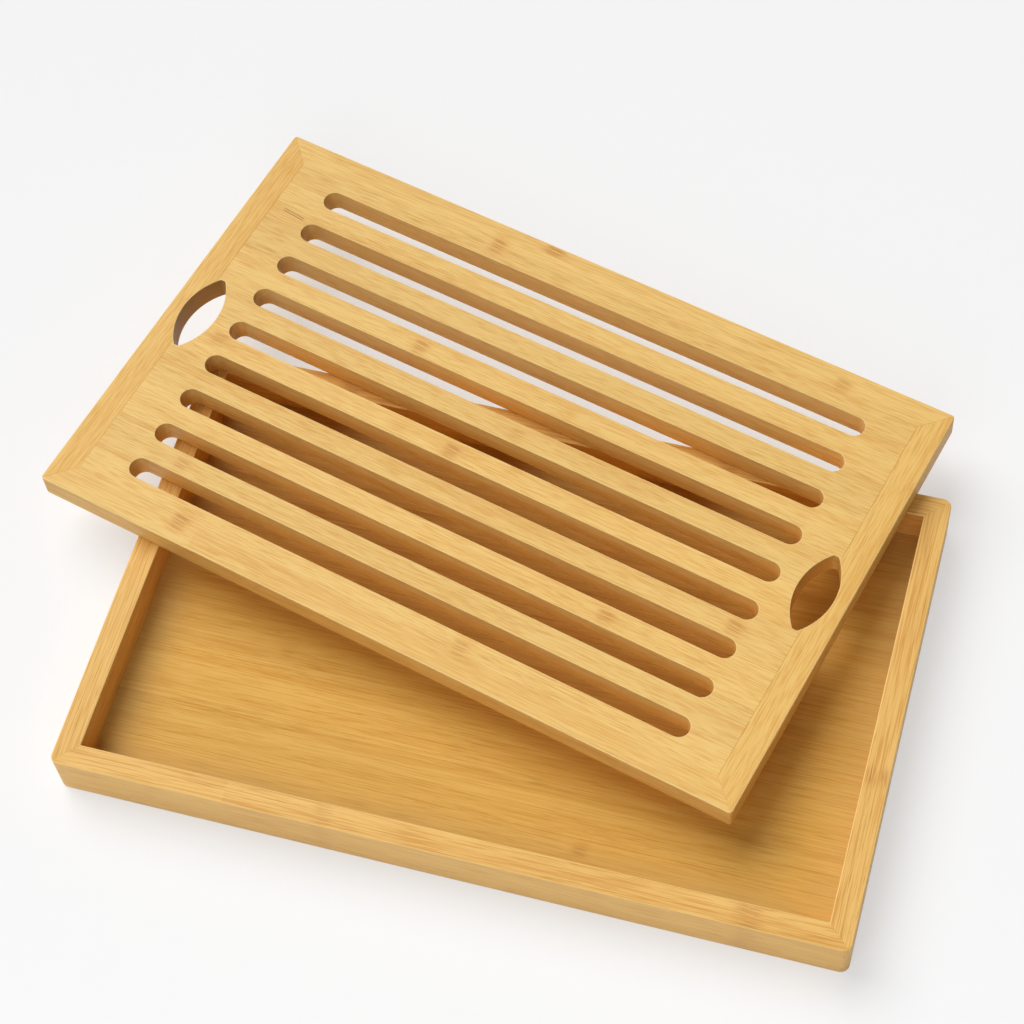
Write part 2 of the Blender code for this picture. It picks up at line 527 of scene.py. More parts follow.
@dataclass(frozen=True)
class BambooFinish:
    """Oiled satin bamboo: colours in sRGB, and how strongly each mark of the cane shows."""

    slot: str
    pale: Colour
    honey: Colour
    streak: Colour
    stain: Colour
    knuckle: Colour
    # The paler colour of eased edges and paler faces: partly wear, partly a painted highlight and a painted
    # reflection.
    worn_and_highlight: Colour
    strip_cell: Point = (9.0, 0.0062, 0.019)
    strip_contrast: float = 0.30
    strip_drift: float = 0.0005
    honey_level: float = 0.45
    broad_contrast: float = 0.7
    thread: Lumps = Lumps(75.0, 1500.0, 1.0)
    thread_contrast: float = 1.0
    stroke_range: Pair = (0.50, 0.64)
    stroke_lift: float = 0.28
    stroke_contrast: float = 0.34
    fibre_contrast: float = 0.9
    cluster_range: Pair = (0.42, 0.62)
    cluster_least: float = 0.25
    streak_range: Pair = (0.56, 0.68)
    streak_share: float = 0.45
    dash_spread: tuple[Pair, Pair] = ((1.5, 0.1), (1.05, 0.6))
    stain_spread: tuple[Pair, Pair] = ((2.2, 0.1), (1.25, 0.5))
    dash_range: Pair = (0.45, 0.64)
    knuckle_raggedness: float = 1.1
    knuckle_share: float = 0.68
    stain_share: float = 0.5
    split_edge: Pair = (0.0004, 0.00018)
    split_tip: Pair = (1.0, 0.75)
    split_share: float = 0.75
    # Painted shade along a floor's walls: where the walls stand, how ragged and wide the margin is, and how
    # strong.
    wall_shade_walls: Pair | None = None
    wall_shade_raggedness: float = 0.012
    wall_shade_reach: float = 0.024
    wall_shade_share: float = 0.4
    end_range: Pair = (0.55, 0.95)
    end_dots: Point = (200.0, 1400.0, 1400.0)
    dot_range: Pair = (0.15, 0.5)
    dot_shares: Pair = (0.75, 0.35)
    # The paler colour's share on eased faces, partly wear and partly a painted highlight, and on the slot walls
    # and the tray's outer sides, where it is also a painted reflection.
    worn_and_highlight_share: Pair = (0.5, 0.45)
    routed_and_reflection_share: float = 0.4
    specular: float = 0.22
    roughness: Pair = (0.42, 0.54)
    gloss_range: Pair = (0.35, 1.1)
    fibre_relief: float = 0.4
    thread_relief: float = 0.6
    bump: float = 0.3
    bump_height: float = 0.0002

    def dress(self, piece: Piece, look: PieceLook) -> None:
        """Gives a piece its bamboo.

        Args:
            piece: The piece to dress.
            look: What sets the piece apart.
        """
        material = bpy.data.materials.new(piece.name + "_bamboo")
        material.use_nodes = True
        Cane(material.node_tree, self, look).grow()
        piece.data.materials.clear()
        piece.data.materials.append(material)


class Cane(NodeBench):
    """The bamboo of one piece, worked out in its material's nodes."""

    def __init__(self, tree: bpy.types.NodeTree, finish: BambooFinish, look: PieceLook) -> None:
        """Sets out metres along the grain, across it and up, from the assembly's own origin.

        Args:
            tree: The material's nodes.
            finish: The piece's finish.
            look: What sets the piece apart.
        """
        super().__init__(tree)
        self.finish, self.look = finish, look
        self.plain = self.add("Mapping", {
            "Vector": self.add("TexCoord").outputs["Object"],
            "Rotation": (0.0, 0.0, -look.angle),
            "Location": Matrix.Rotation(-look.angle, 3, "Z") @ -Vector(look.place),
        }).outputs["Vector"]

    def from_mark(self, mark: Knuckle | Split) -> Socket:
        """Grain coordinates that start at a mark's middle."""
        middle = Matrix.Rotation(-self.look.grain.value, 3, "Z") @ Vector((mark.x, mark.y, 0.0))
        return self.vector("SUBTRACT", self.plain, tuple(middle))

    def knuckle_marks(self) -> tuple[Socket, Socket]:
        """The short dark dashes at the piece's knuckles, and the soft warm stain around them.

        Returns:
            How strong the dashes and the stain are.
        """
        finish = self.finish
        marks: Source = 0.0
        stain: Source = 0.0
        for knuckle in self.look.knuckles:
            offset = self.from_mark(knuckle)
            ragged = self.centred(self.noise(offset, KNUCKLE_RIM))
            along, across, up = self.parts(offset)
            length_share = self.math("DIVIDE", self.math("ABSOLUTE", along), knuckle.half_length)
            length_share = self.math("MULTIPLY_ADD", ragged, finish.knuckle_raggedness, length_share)
            width_share = self.math("DIVIDE", self.math("ABSOLUTE", across), knuckle.half_width)
            patch, around = (
                self.times(self.fade(length_share, *ends), self.fade(width_share, *sides))
                for ends, sides in (finish.dash_spread, finish.stain_spread)
            )
            lean = self.math("MULTIPLY_ADD", along, knuckle.slant, across)
            skewed = self.add("CombineXYZ", {0: along, 1: lean, 2: up}).outputs["Vector"]
            dashes = self.fade(self.noise(skewed, KNUCKLE_DASH), *finish.dash_range)
            dashes = self.times(self.times(dashes, patch), knuckle.strength)
            marks = self.math("MAXIMUM", marks, dashes)
            stain = self.math("MAXIMUM", stain, self.times(around, knuckle.strength))
        return marks, stain

    def split_marks(self) -> Socket:
        """The thin dark lines of the piece's splits.

        Returns:
            How strong the lines are.
        """
        marks: Source = 0.0
        for split in self.look.splits:
            along, across, _ = self.parts(self.from_mark(split))
            across = self.math("ABSOLUTE", self.math("MULTIPLY_ADD", along, -split.slant, across))
            from_line = self.math("ABSOLUTE", self.math("SUBTRACT", across, split.gap / 2))
            reach = self.math("DIVIDE", self.math("ABSOLUTE", along), split.half_length)
            edge, tip = self.fade(from_line, *self.finish.split_edge), self.fade(reach, *self.finish.split_tip)
            marks = self.math("MAXIMUM", marks, self.times(edge, tip))
        return marks

    def wall_shade(self, walls: Pair) -> Socket:
        """Painted shade: a darker, greyer margin along a floor's walls, where the walls shade it.

        Args:
            walls: How far the walls stand from the middle, along and across.

        Returns:
            How strong the margin is.
        """
        ragged = self.times(self.centred(self.noise(self.plain, MARGIN)), self.finish.wall_shade_raggedness)
        sides = zip(walls, self.parts(self.plain))
        gaps = [self.math("SUBTRACT", wall, self.math("ABSOLUTE", part)) for wall, part in sides]
        nearest = self.math("ADD", self.math("MINIMUM", *gaps), ragged)
        return self.fade(nearest, self.finish.wall_shade_reach, 0.0, 0.0, self.finish.wall_shade_share)

    def end_grain(self) -> Socket:
        """The dots and the shade of the faces that cut across the fibres.

        Returns:
            How strong they are.
        """
        finish, angle = self.finish, self.look.angle
        fibres = (math.cos(angle), math.sin(angle), 0.0)
        facing = self.vector("DOT_PRODUCT", self.add("TexCoord").outputs["Normal"], fibres)
        cut = self.fade(self.math("ABSOLUTE", facing), *finish.end_range)
        place = self.vector("MULTIPLY", self.plain, finish.end_dots)
        dots = self.add("TexVoronoi", {"Vector": place, "Scale": 1.0}).outputs["Distance"]
        return self.times(cut, self.fade(dots, *finish.dot_range, *finish.dot_shares))

    def coats(self, fibre: Socket, streak: Socket) -> list[tuple[Socket, Colour]]:
        """What lies over the bare cane, in order, with painted shade, painted highlights and a painted reflection
        among it.

        Args:
            fibre: The noise of the fibres.
            streak: How strong the streaks are.

        Returns:
            How much there is of each coat, and its colour.
        """
        finish = self.finish
        coats = [(self.times(streak, finish.streak_share), finish.streak)]
        if self.look.knuckles:
            marks, stain = self.knuckle_marks()
            coats.append((self.times(stain, finish.stain_share), finish.stain))
            coats.append((self.times(marks, finish.knuckle_share), finish.knuckle))
        if self.look.splits:
            coats.append((self.times(self.split_marks(), finish.split_share), SPLIT_COLOUR))
        # Painted shade: a darker, greyer margin along the floor's walls.
        if finish.wall_shade_walls:
            coats.append((self.wall_shade(finish.wall_shade_walls), WALL_SHADE_COLOUR))
        rubbed_and_highlight = self.math("MULTIPLY_ADD", fibre, *finish.worn_and_highlight_share)
        return coats + [
            (self.end_grain(), finish.knuckle),
            # Paler eased edges: partly wear, partly a painted highlight on the rims.
            (self.times(self.face_share(EASED), rubbed_and_highlight), finish.worn_and_highlight),
            # Paler slot walls, which take less oil, and a painted reflection of the white floor on the tray's
            # outer sides.
            (self.times(self.face_share(ROUTED_AND_REFLECTION), finish.routed_and_reflection_share), finish.worn_and_highlight),
            # Dust at the glued joints, and painted shade in the finger holes and on the board's outer sides.
            (self.face_share(SOIL_AND_SHADE), SOIL_AND_SHADE_COLOUR),
        ]

    def grow(self) -> None:
        """Works out the colour, the gloss and the relief, and feeds them to the material's shader."""
        finish = self.finish
        shifted = self.vector("ADD", self.plain, self.look.shift)
        drift = self.vector("SUBTRACT", self.noise(shifted, DRIFT, colour=True), (0.5, 0.5, 0.5))
        drift = self.vector("MULTIPLY", drift, (0.0, finish.strip_drift, finish.strip_drift))
        grain = self.vector("ADD", shifted, drift)
        _, width, layer = finish.strip_cell
        cell = self.vector("ADD", self.vector("SNAP", grain, finish.strip_cell), (0.0, width / 2, layer / 2))
        fibre = self.noise(grain, FIBRE)
        fine = self.noise(grain, FINE)
        thread = self.noise(grain, finish.thread)
        stroke = self.fade(thread, *finish.stroke_range)
        cluster = self.fade(self.noise(shifted, CLUSTER), *finish.cluster_range, finish.cluster_least, 1.0)
        streak = self.times(self.fade(self.noise(grain, STREAK), *finish.streak_range), cluster)

        honey: Source = finish.honey_level
        layers = (
            (self.add("TexWhiteNoise", {"Vector": cell}).outputs["Value"], finish.strip_contrast),
            (self.noise(shifted, BROAD), finish.broad_contrast),
            (thread, finish.thread_contrast),
            (self.math("ADD", stroke, finish.stroke_lift), finish.stroke_contrast),
            (fibre, finish.fibre_contrast),
            (fine, finish.fibre_contrast / 2),
        )
        for part, contrast in layers:
            honey = self.math("MULTIPLY_ADD", self.centred(part), contrast, honey)
        tone = self.look.tone
        pale, deep = ((*(tone * c for c in linear(colour)[:3]), 1.0) for colour in (finish.pale, finish.honey))
        colour = self.mix(self.fade(honey, 0.0, 1.0), pale, deep)
        for share, coat in self.coats(fibre, streak):
            colour = self.mix(share, colour, linear(coat))

        height = self.math("MULTIPLY_ADD", fine, finish.fibre_relief, self.times(fibre, finish.fibre_relief))
        height = self.math("MULTIPLY_ADD", thread, -finish.thread_relief, height)
        height = self.math("SUBTRACT", height, streak)
        relief = {"Strength": finish.bump, "Distance": finish.bump_height, "Height": height}
        self.feed(self.tree.nodes["Principled BSDF"], {
            "Base Color": colour,
            "Roughness": self.fade(self.math("ADD", fibre, streak), *finish.gloss_range, *finish.roughness),
            "Specular IOR Level": finish.specular,
            "Normal": self.add("Bump", relief).outputs["Normal"],
        })


BOARD_STAVE_FINISH = BambooFinish(
    slot="board_stave_bamboo",
    pale=(250, 208, 125),
    honey=(235, 181, 96),
    streak=(208, 152, 74),
    stain=(236, 172, 88),
    knuckle=(190, 128, 56),
    worn_and_highlight=(255, 222, 152),
)
BOARD_LONG_RAIL_FINISH = replace(BOARD_STAVE_FINISH, slot="board_rail_bamboo", thread=Lumps(48.0, 1500.0, 1.0))
BOARD_RAIL_FINISH = BambooFinish(
    slot="board_rail_bamboo",
    pale=(248, 202, 116),
    honey=(232, 175, 86),
    streak=(204, 146, 66),
    stain=(220, 156, 80),
    knuckle=(172, 114, 50),
    worn_and_highlight=(255, 216, 144),
)
TRAY_RAIL_FINISH = BambooFinish(
    slot="tray_rail_bamboo",
    pale=(245, 197, 112),
    honey=(222, 162, 78),
    streak=(190, 130, 60),
    stain=(210, 146, 70),
    knuckle=(172, 112, 50),
    worn_and_highlight=(254, 212, 134),
    thread=Lumps(36.0, 1400.0, 1.0),
    stroke_contrast=0.32,
)
TRAY_FLOOR_FINISH = BambooFinish(
    slot="tray_floor_bamboo",
    pale=(232, 183, 90),
    honey=(212, 155, 62),
    streak=(170, 112, 40),
    stain=(198, 136, 54),
    knuckle=(156, 98, 38),
    worn_and_highlight=(234, 184, 94),
    # Where the walls stand, for the painted shade along them.
    wall_shade_walls=(0.1875, 0.1125),
    thread=Lumps(40.0, 1400.0, 1.0),
    thread_contrast=0.7,
    stroke_contrast=0.2,
    fibre_contrast=0.75,
    broad_contrast=0.45,
    streak_share=0.36,
    streak_range=(0.57, 0.69),
    specular=0.16,
    roughness=(0.46, 0.58),
)


@dataclass
class Assembly:
    """What the board and the tray share: an outline, mitred rails, a place and a body."""

    body: str
    length: float
    depth: float
    height: float
    rail_width: float
    corner_radius: float
    edge_radius: float
    place: Point
    turn: float
    rail_finish: BambooFinish
    glue_line: float = 0.00004
    joint_chamfer: float = 0.0001
    corner_segments: int = 8
    edge_segments: int = 3
    knuckles: tuple[Knuckle, ...] = ()
    splits: tuple[Split, ...] = ()
    made: list[Piece] = field(default_factory=list)

    def blank(self) -> Piece:
        """Makes the whole outline as one block, with its upright corners and its outer edges rounded.

        Returns:
            The block.
        """
        x, y = self.length / 2, self.depth / 2
        block = add_block(f"{self.body}_blank", (-x, -y, 0.0), (x, y, self.height))
        round_edges(block, upright, self.corner_radius, self.corner_segments)
        round_edges(block, lambda a, b: not upright(a, b), self.edge_radius, self.edge_segments)
        return block

    def reach(self, side: Side) -> float:
        """How far a side lies from the middle."""
        return (self.depth if side.runs_along else self.length) / 2

    def half_run(self, side: Side) -> float:
        """Half the length of a side's rail."""
        return (self.length if side.runs_along else self.depth) / 2

    def mitre_test(self, side: Side) -> EdgeTest:
        """Says which top edges of a rail lie along its mitres.

        Args:
            side: The rail's side.

        Returns:
            The test.
        """
        along = side.along

        def on_mitre(point: Vector) -> bool:
            """Whether a point lies on the top, on the plane of a mitre."""
            slip = abs(along.dot(point)) - point.dot(side.outward) - self.half_run(side) + self.reach(side)
            return between(point.z, self.height, TOUCH) and between(slip, 0.0, self.glue_line * 2)

        return lambda a, b: on_mitre(a) and on_mitre(b) and along.dot(a) * along.dot(b) > 0.0

    def top_test(self, outward: Vector, reach: float) -> EdgeTest:
        """Says which top edges lie across a direction, at a reach from the middle."""
        return both_ends(lambda p: between(p.z, self.height, TOUCH) and between(p.dot(outward), reach, TOUCH))

    def outer_test(self, side: Side) -> PointTest:
        """Says which points lie on the assembly's outer side or on its upright corners."""
        return lambda point: between(point.dot(side.outward), self.reach(side), self.corner_radius)

    def cut_rail(self, blank: Piece, side: Side) -> Piece:
        """Saws one mitred rail out of the blank.

        Args:
            blank: The block with the whole outline.
            side: The rail's side.

        Returns:
            The rail, in the assembly's own plan.
        """
        rail = copy_of(blank, f"bamboo_{self.body}_{side.word}_rail")
        outward, reach = side.outward, self.reach(side)
        for end in (-1.0, 1.0):
            away = (side.along * end - outward).normalized()
            corner = outward * reach + side.along * end * self.half_run(side)
            saw(rail, corner - away * self.glue_line / 2, away)
        saw(rail, outward * (reach - self.rail_width), -outward)
        return rail

    def finish_piece(
        self, piece: Piece, node: str, finish: BambooFinish, grain: Grain, tone: float = 1.0
    ) -> None:
        """Puts a piece in its place, dresses it, and lets it ride and stand for its CAD node.

        Args:
            piece: The modelled piece, in the assembly's own plan.
            node: The CAD node that it stands for.
            finish: Its bamboo.
            grain: Which way its fibres run.
            tone: How light it is beside its neighbours.
        """
        low, high = Vector(piece.bound_box[0]), Vector(piece.bound_box[6])
        near = tuple(
            k for k in self.knuckles
            if low.x <= k.x <= high.x and low.y - k.half_width <= k.y <= high.y + k.half_width
        )
        cracks = tuple(s for s in self.splits if low.x <= s.x <= high.x and low.y <= s.y <= high.y)
        along, across = (start + step * len(self.made) for start, step in zip(PATTERN_START, PATTERN_STEP))
        settle(piece, self.place, self.turn)
        finish.dress(piece, PieceLook(tone, (along, across, 0.0), grain, self.place, self.turn, near, cracks))
        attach(piece, self.body)
        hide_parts(node)
        self.made.append(piece)
        LOG.info("%s stands for %s: %d faces", piece.name, node, len(piece.data.polygons))


@dataclass
class SlattedBoard(Assembly):
    """The board: ten staves between four mitred rails, with nine slots and a finger hole at each end."""

    body: str = "board"
    length: float = 0.400
    depth: float = 0.250
    height: float = 0.014
    rail_width: float = 0.0145
    corner_radius: float = 0.002
    edge_radius: float = 0.0006
    place: Point = (-0.0535, 0.0825, 0.0283)
    turn: float = 0.0
    rail_finish: BambooFinish = BOARD_RAIL_FINISH
    long_rail_finish: BambooFinish = BOARD_LONG_RAIL_FINISH
    stave_finish: BambooFinish = BOARD_STAVE_FINISH
    slot_count: int = 9
    slot_width: float = 0.0116
    slot_side_margin: float = 0.0232
    slot_end_margin: float = 0.0375
    slot_segments: int = 10
    rim_radius: float = 0.00032
    hole_width: float = 0.020
    hole_tip: float = 0.0025
    hole_tip_radius: float = 0.0011
    hole_tip_segments: int = 4
    hole_inset: float = 0.00075
    hole_from_end: float = 0.0175
    slot_bareness: float = 0.4
    # Painted shade in the left and right finger holes' walls.
    hole_painted_shade: Pair = (0.85, 0.08)
    # Painted shade on the board's outer sides.
    edge_painted_shade: float = 0.12
    rod_sides: int = 256
    stave_tones: tuple[float, ...] = (1.0, 0.96, 1.01, 0.98, 1.02, 0.97, 1.0, 0.95, 0.99, 0.97)

    @property
    def pitch(self) -> float:
        """The distance between two slots' centre lines."""
        return (self.depth - 2 * self.slot_side_margin - self.slot_width) / (self.slot_count - 1)

    @property
    def hole_x(self) -> float:
        """How far the finger holes' middles lie from the board's."""
        return self.length / 2 - self.hole_from_end

    @property
    def hole_half_length(self) -> float:
        """Half a finger hole's length, which ends just short of two slots' centre lines."""
        return self.pitch - self.hole_inset

    def slot_line(self, index: int) -> float:
        """The y of a slot's centre line, counted from the front."""
        return (index - (self.slot_count - 1) / 2) * self.pitch

    @property
    def slot_tip(self) -> float:
        """How far the slots reach from the middle."""
        return self.length / 2 - self.slot_end_margin

    def slot_cutter(self, index: int) -> Piece:
        """Makes the shape of one slot: a long bar with round ends.

        Args:
            index: The slot's number from the front, from 0.

        Returns:
            The cutter.
        """
        line, half = self.slot_line(index), self.slot_width / 2
        low, high = (-self.slot_tip, line - half, -OVERRUN), (self.slot_tip, line + half, self.height + OVERRUN)
        bar = add_block(f"slot_{index + 1}_cutter", low, high)
        round_edges(bar, upright, half, self.slot_segments)
        return bar

    def hole_cutter(self, centre_x: float) -> Piece:
        """The shape of one finger hole: what two rods share, with its tips cut blunt and rounded.

        Args:
            centre_x: The x of the hole's middle.

        Returns:
            The cutter.
        """
        rise = (self.hole_width - self.hole_tip) / 2
        radius = (rise**2 + self.hole_half_length**2) / (2 * rise)
        offset = radius - self.hole_width / 2
        low, high, sides = -OVERRUN, self.height + OVERRUN, self.rod_sides
        lens = add_rod("finger_hole_cutter", (centre_x - offset, 0.0), radius, low, high, sides)
        other = add_rod("other_rod", (centre_x + offset, 0.0), radius, low - OVERRUN, high + OVERRUN, sides)
        boolean(lens, other, "INTERSECT")
        for end in (-1.0, 1.0):
            saw(lens, Vector((0.0, end * self.hole_half_length, 0.0)), Vector((0.0, end, 0.0)))
        at_tip = both_ends(lambda point: between(abs(point.y), self.hole_half_length, TOUCH))
        round_edges(
            lens, lambda a, b: upright(a, b) and at_tip(a, b), self.hole_tip_radius, self.hole_tip_segments
        )
        discard(other)
        return lens

    def in_slot(self, point: Vector) -> bool:
        """Whether a point lies in the stretch that a slot takes."""
        offsets = (point.y - self.slot_line(index) for index in range(self.slot_count))
        return between(point.x, 0.0, self.slot_tip) and any(between(y, 0.0, self.slot_width / 2) for y in offsets)

    def in_hole(self, point: Vector) -> bool:
        """Whether a point lies in the stretch that a finger hole takes."""
        inside = between(abs(point.x), self.hole_x, self.hole_width / 2)
        return inside and between(point.y, 0.0, self.hole_half_length)

    def mark_cuts(self, piece: Piece) -> None:
        """Marks a piece's walls in the slots, which take less oil, and paints shade into the finger holes' walls,
        far more in the left hole than the right.

        Args:
            piece: The piece to work on.
        """
        mark_walls(piece, ROUTED_AND_REFLECTION, self.slot_bareness, self.in_slot)
        # Painted shade in the finger holes' walls, far darker in the left hole than in the right.
        for way, soil in zip((-1, 1), self.hole_painted_shade):
            mark_walls(piece, SOIL_AND_SHADE, soil, lambda point: point.x * way > 0.0 and self.in_hole(point))

    def rim_test(self, sides: Sequence[tuple[int, float]]) -> EdgeTest:
        """Says which edges run along a slot's or a finger hole's rim.

        Args:
            sides: The piece's own flat sides, each as an axis and a place on it.

        Returns:
            The test.
        """
        in_cut = both_ends(lambda point: self.in_slot(point) or self.in_hole(point))

        def on_rim(a: Vector, b: Vector) -> bool:
            """Whether an edge lies on the rim, at the top or underneath."""
            own = any(between(a[axis], at, TOUCH) and between(b[axis], at, TOUCH) for axis, at in sides)
            return in_cut(a, b) and not upright(a, b) and not own

        return on_rim

    def build_staves(self, slots: Sequence[Piece], holes: Sequence[Piece]) -> None:
        """Makes the staves, each between two slots' centre lines or between the last one and a rail.

        Args:
            slots: The slots' cutters, from the front.
            holes: The finger holes' cutters.
        """
        half_x = self.length / 2 - self.rail_width - self.glue_line
        half_y = self.depth / 2 - self.rail_width - self.glue_line
        joints = [self.slot_line(index) for index in range(self.slot_count)]
        lows = [-half_y] + [y + self.glue_line / 2 for y in joints]
        highs = [y - self.glue_line / 2 for y in joints] + [half_y]
        for index, (low, high) in enumerate(zip(lows, highs)):
            stave = add_block(f"bamboo_board_stave_{index + 1}", (-half_x, low, 0.0), (half_x, high, self.height))
            beside = [slots[at] for at in (index - 1, index) if 0 <= at < self.slot_count]
            crossing = holes if low < self.hole_half_length and high > -self.hole_half_length else ()
            for cutter in (*beside, *crossing):
                boolean(stave, cutter, "DIFFERENCE")
            rim = self.rim_test(((0, -half_x), (0, half_x), (1, low), (1, high)))
            round_edges(stave, rim, self.rim_radius, self.edge_segments)
            for side in (Side.LEFT, Side.RIGHT):
                round_edges(stave, self.top_test(side.outward, half_x), self.joint_chamfer, 1, at_joint=True)
            self.mark_cuts(stave)
            node, tone = f"board_stave_{index + 1}", self.stave_tones[index]
            self.finish_piece(stave, node, self.stave_finish, Grain.ALONG, tone)

    def build(self) -> None:
        """Makes and dresses every piece of the board."""
        slots = [self.slot_cutter(index) for index in range(self.slot_count)]
        holes = [self.hole_cutter(x) for x in (-self.hole_x, self.hole_x)]
        blank = self.blank()
        for side in Side:
            rail = self.cut_rail(blank, side)
            mitred = self.mitre_test(side)
            if side.runs_along:
                round_edges(rail, mitred, self.joint_chamfer, 1, at_joint=True)
            else:
                boolean(rail, holes[0 if side is Side.LEFT else 1], "DIFFERENCE")
                inner = self.reach(side) - self.rail_width
                panel = self.top_test(side.outward, inner)
                rim = self.rim_test(((0, side.outward.x * inner),))
                round_edges(rail, rim, self.rim_radius, self.edge_segments)
                round_edges(
                    rail, lambda a, b: mitred(a, b) or panel(a, b), self.joint_chamfer, 1, at_joint=True
                )
                self.mark_cuts(rail)
            # Painted shade on the board's outer sides.
            mark_walls(rail, SOIL_AND_SHADE, self.edge_painted_shade, self.outer_test(side))
            grain = Grain.ALONG if side.runs_along else Grain.ACROSS
            finish = self.long_rail_finish if side.runs_along else self.rail_finish
            self.finish_piece(rail, f"board_{side.word}_rail", finish, grain)
        self.build_staves(slots, holes)
        discard(blank, *slots, *holes)


@dataclass
class CrumbTray(Assembly):
    """The tray: four mitred rails, rebated underneath for a floor of edge-glued slats."""

    body: str = "tray"
    length: float = 0.400
    depth: float = 0.250
    height: float = 0.028
    rail_width: float = 0.0125
    corner_radius: float = 0.0045
    edge_radius: float = 0.0006
    place: Point = (0.0, 0.0, 0.0)
    turn: float = math.radians(14.0)
    rail_finish: BambooFinish = TRAY_RAIL_FINISH
    floor_finish: BambooFinish = TRAY_FLOOR_FINISH
    floor_thickness: float = 0.007
    floor_tongue: float = 0.006
    slat_count: int = 9
    slat_edge: float = 0.00012
    # Painted reflection: how much paler the tray's outer sides are, for the white floor that they reflect.
    side_painted_reflection: float = 0.75
    slat_tones: tuple[float, ...] = (1.0, 0.97, 1.01, 0.98, 0.96, 1.0, 0.97, 1.01, 0.98)

    def build(self) -> None:
        """Makes and dresses every piece of the tray."""
        half_x = self.length / 2 - self.rail_width + self.floor_tongue
        half_y = self.depth / 2 - self.rail_width + self.floor_tongue
        x, y, z = (size + self.glue_line for size in (half_x, half_y, self.floor_thickness))
        rebate = add_block("rebate_cutter", (-x, -y, -OVERRUN), (x, y, z))
        blank = self.blank()
        for side in Side:
            rail = self.cut_rail(blank, side)
            inner_edge = self.top_test(side.outward, self.reach(side) - self.rail_width)
            round_edges(rail, inner_edge, self.edge_radius, self.edge_segments)
            round_edges(rail, self.mitre_test(side), self.joint_chamfer, 1, at_joint=True)
            boolean(rail, rebate, "DIFFERENCE")
            # Paints the white floor's reflection onto the tray's outer sides as a paler colour.
            mark_walls(rail, ROUTED_AND_REFLECTION, self.side_painted_reflection, self.outer_test(side))
            grain = Grain.ALONG if side.runs_along else Grain.ACROSS
            self.finish_piece(rail, f"tray_{side.word}_rail", self.rail_finish, grain)
        self.build_floor(half_x, half_y)
        discard(blank, rebate)

    def build_floor(self, half_x: float, half_y: float) -> None:
        """Makes the floor's slats, flush with the rails' underside.

        Args:
            half_x: Half the floor's length.
            half_y: Half the floor's depth.
        """
        width = (2 * half_y - (self.slat_count - 1) * self.glue_line) / self.slat_count
        for index in range(self.slat_count):
            low = -half_y + index * (width + self.glue_line)
            high = (half_x, low + width, self.floor_thickness)
            slat = add_block(f"bamboo_tray_slat_{index + 1}", (-half_x, low, 0.0), high)
            round_edges(slat, lambda a, b: abs(a.x - b.x) > TOUCH, self.slat_edge, 1)
            node = f"tray_floor_slat_{index + 1}"
            self.finish_piece(slat, node, self.floor_finish, Grain.ALONG, self.slat_tones[index])


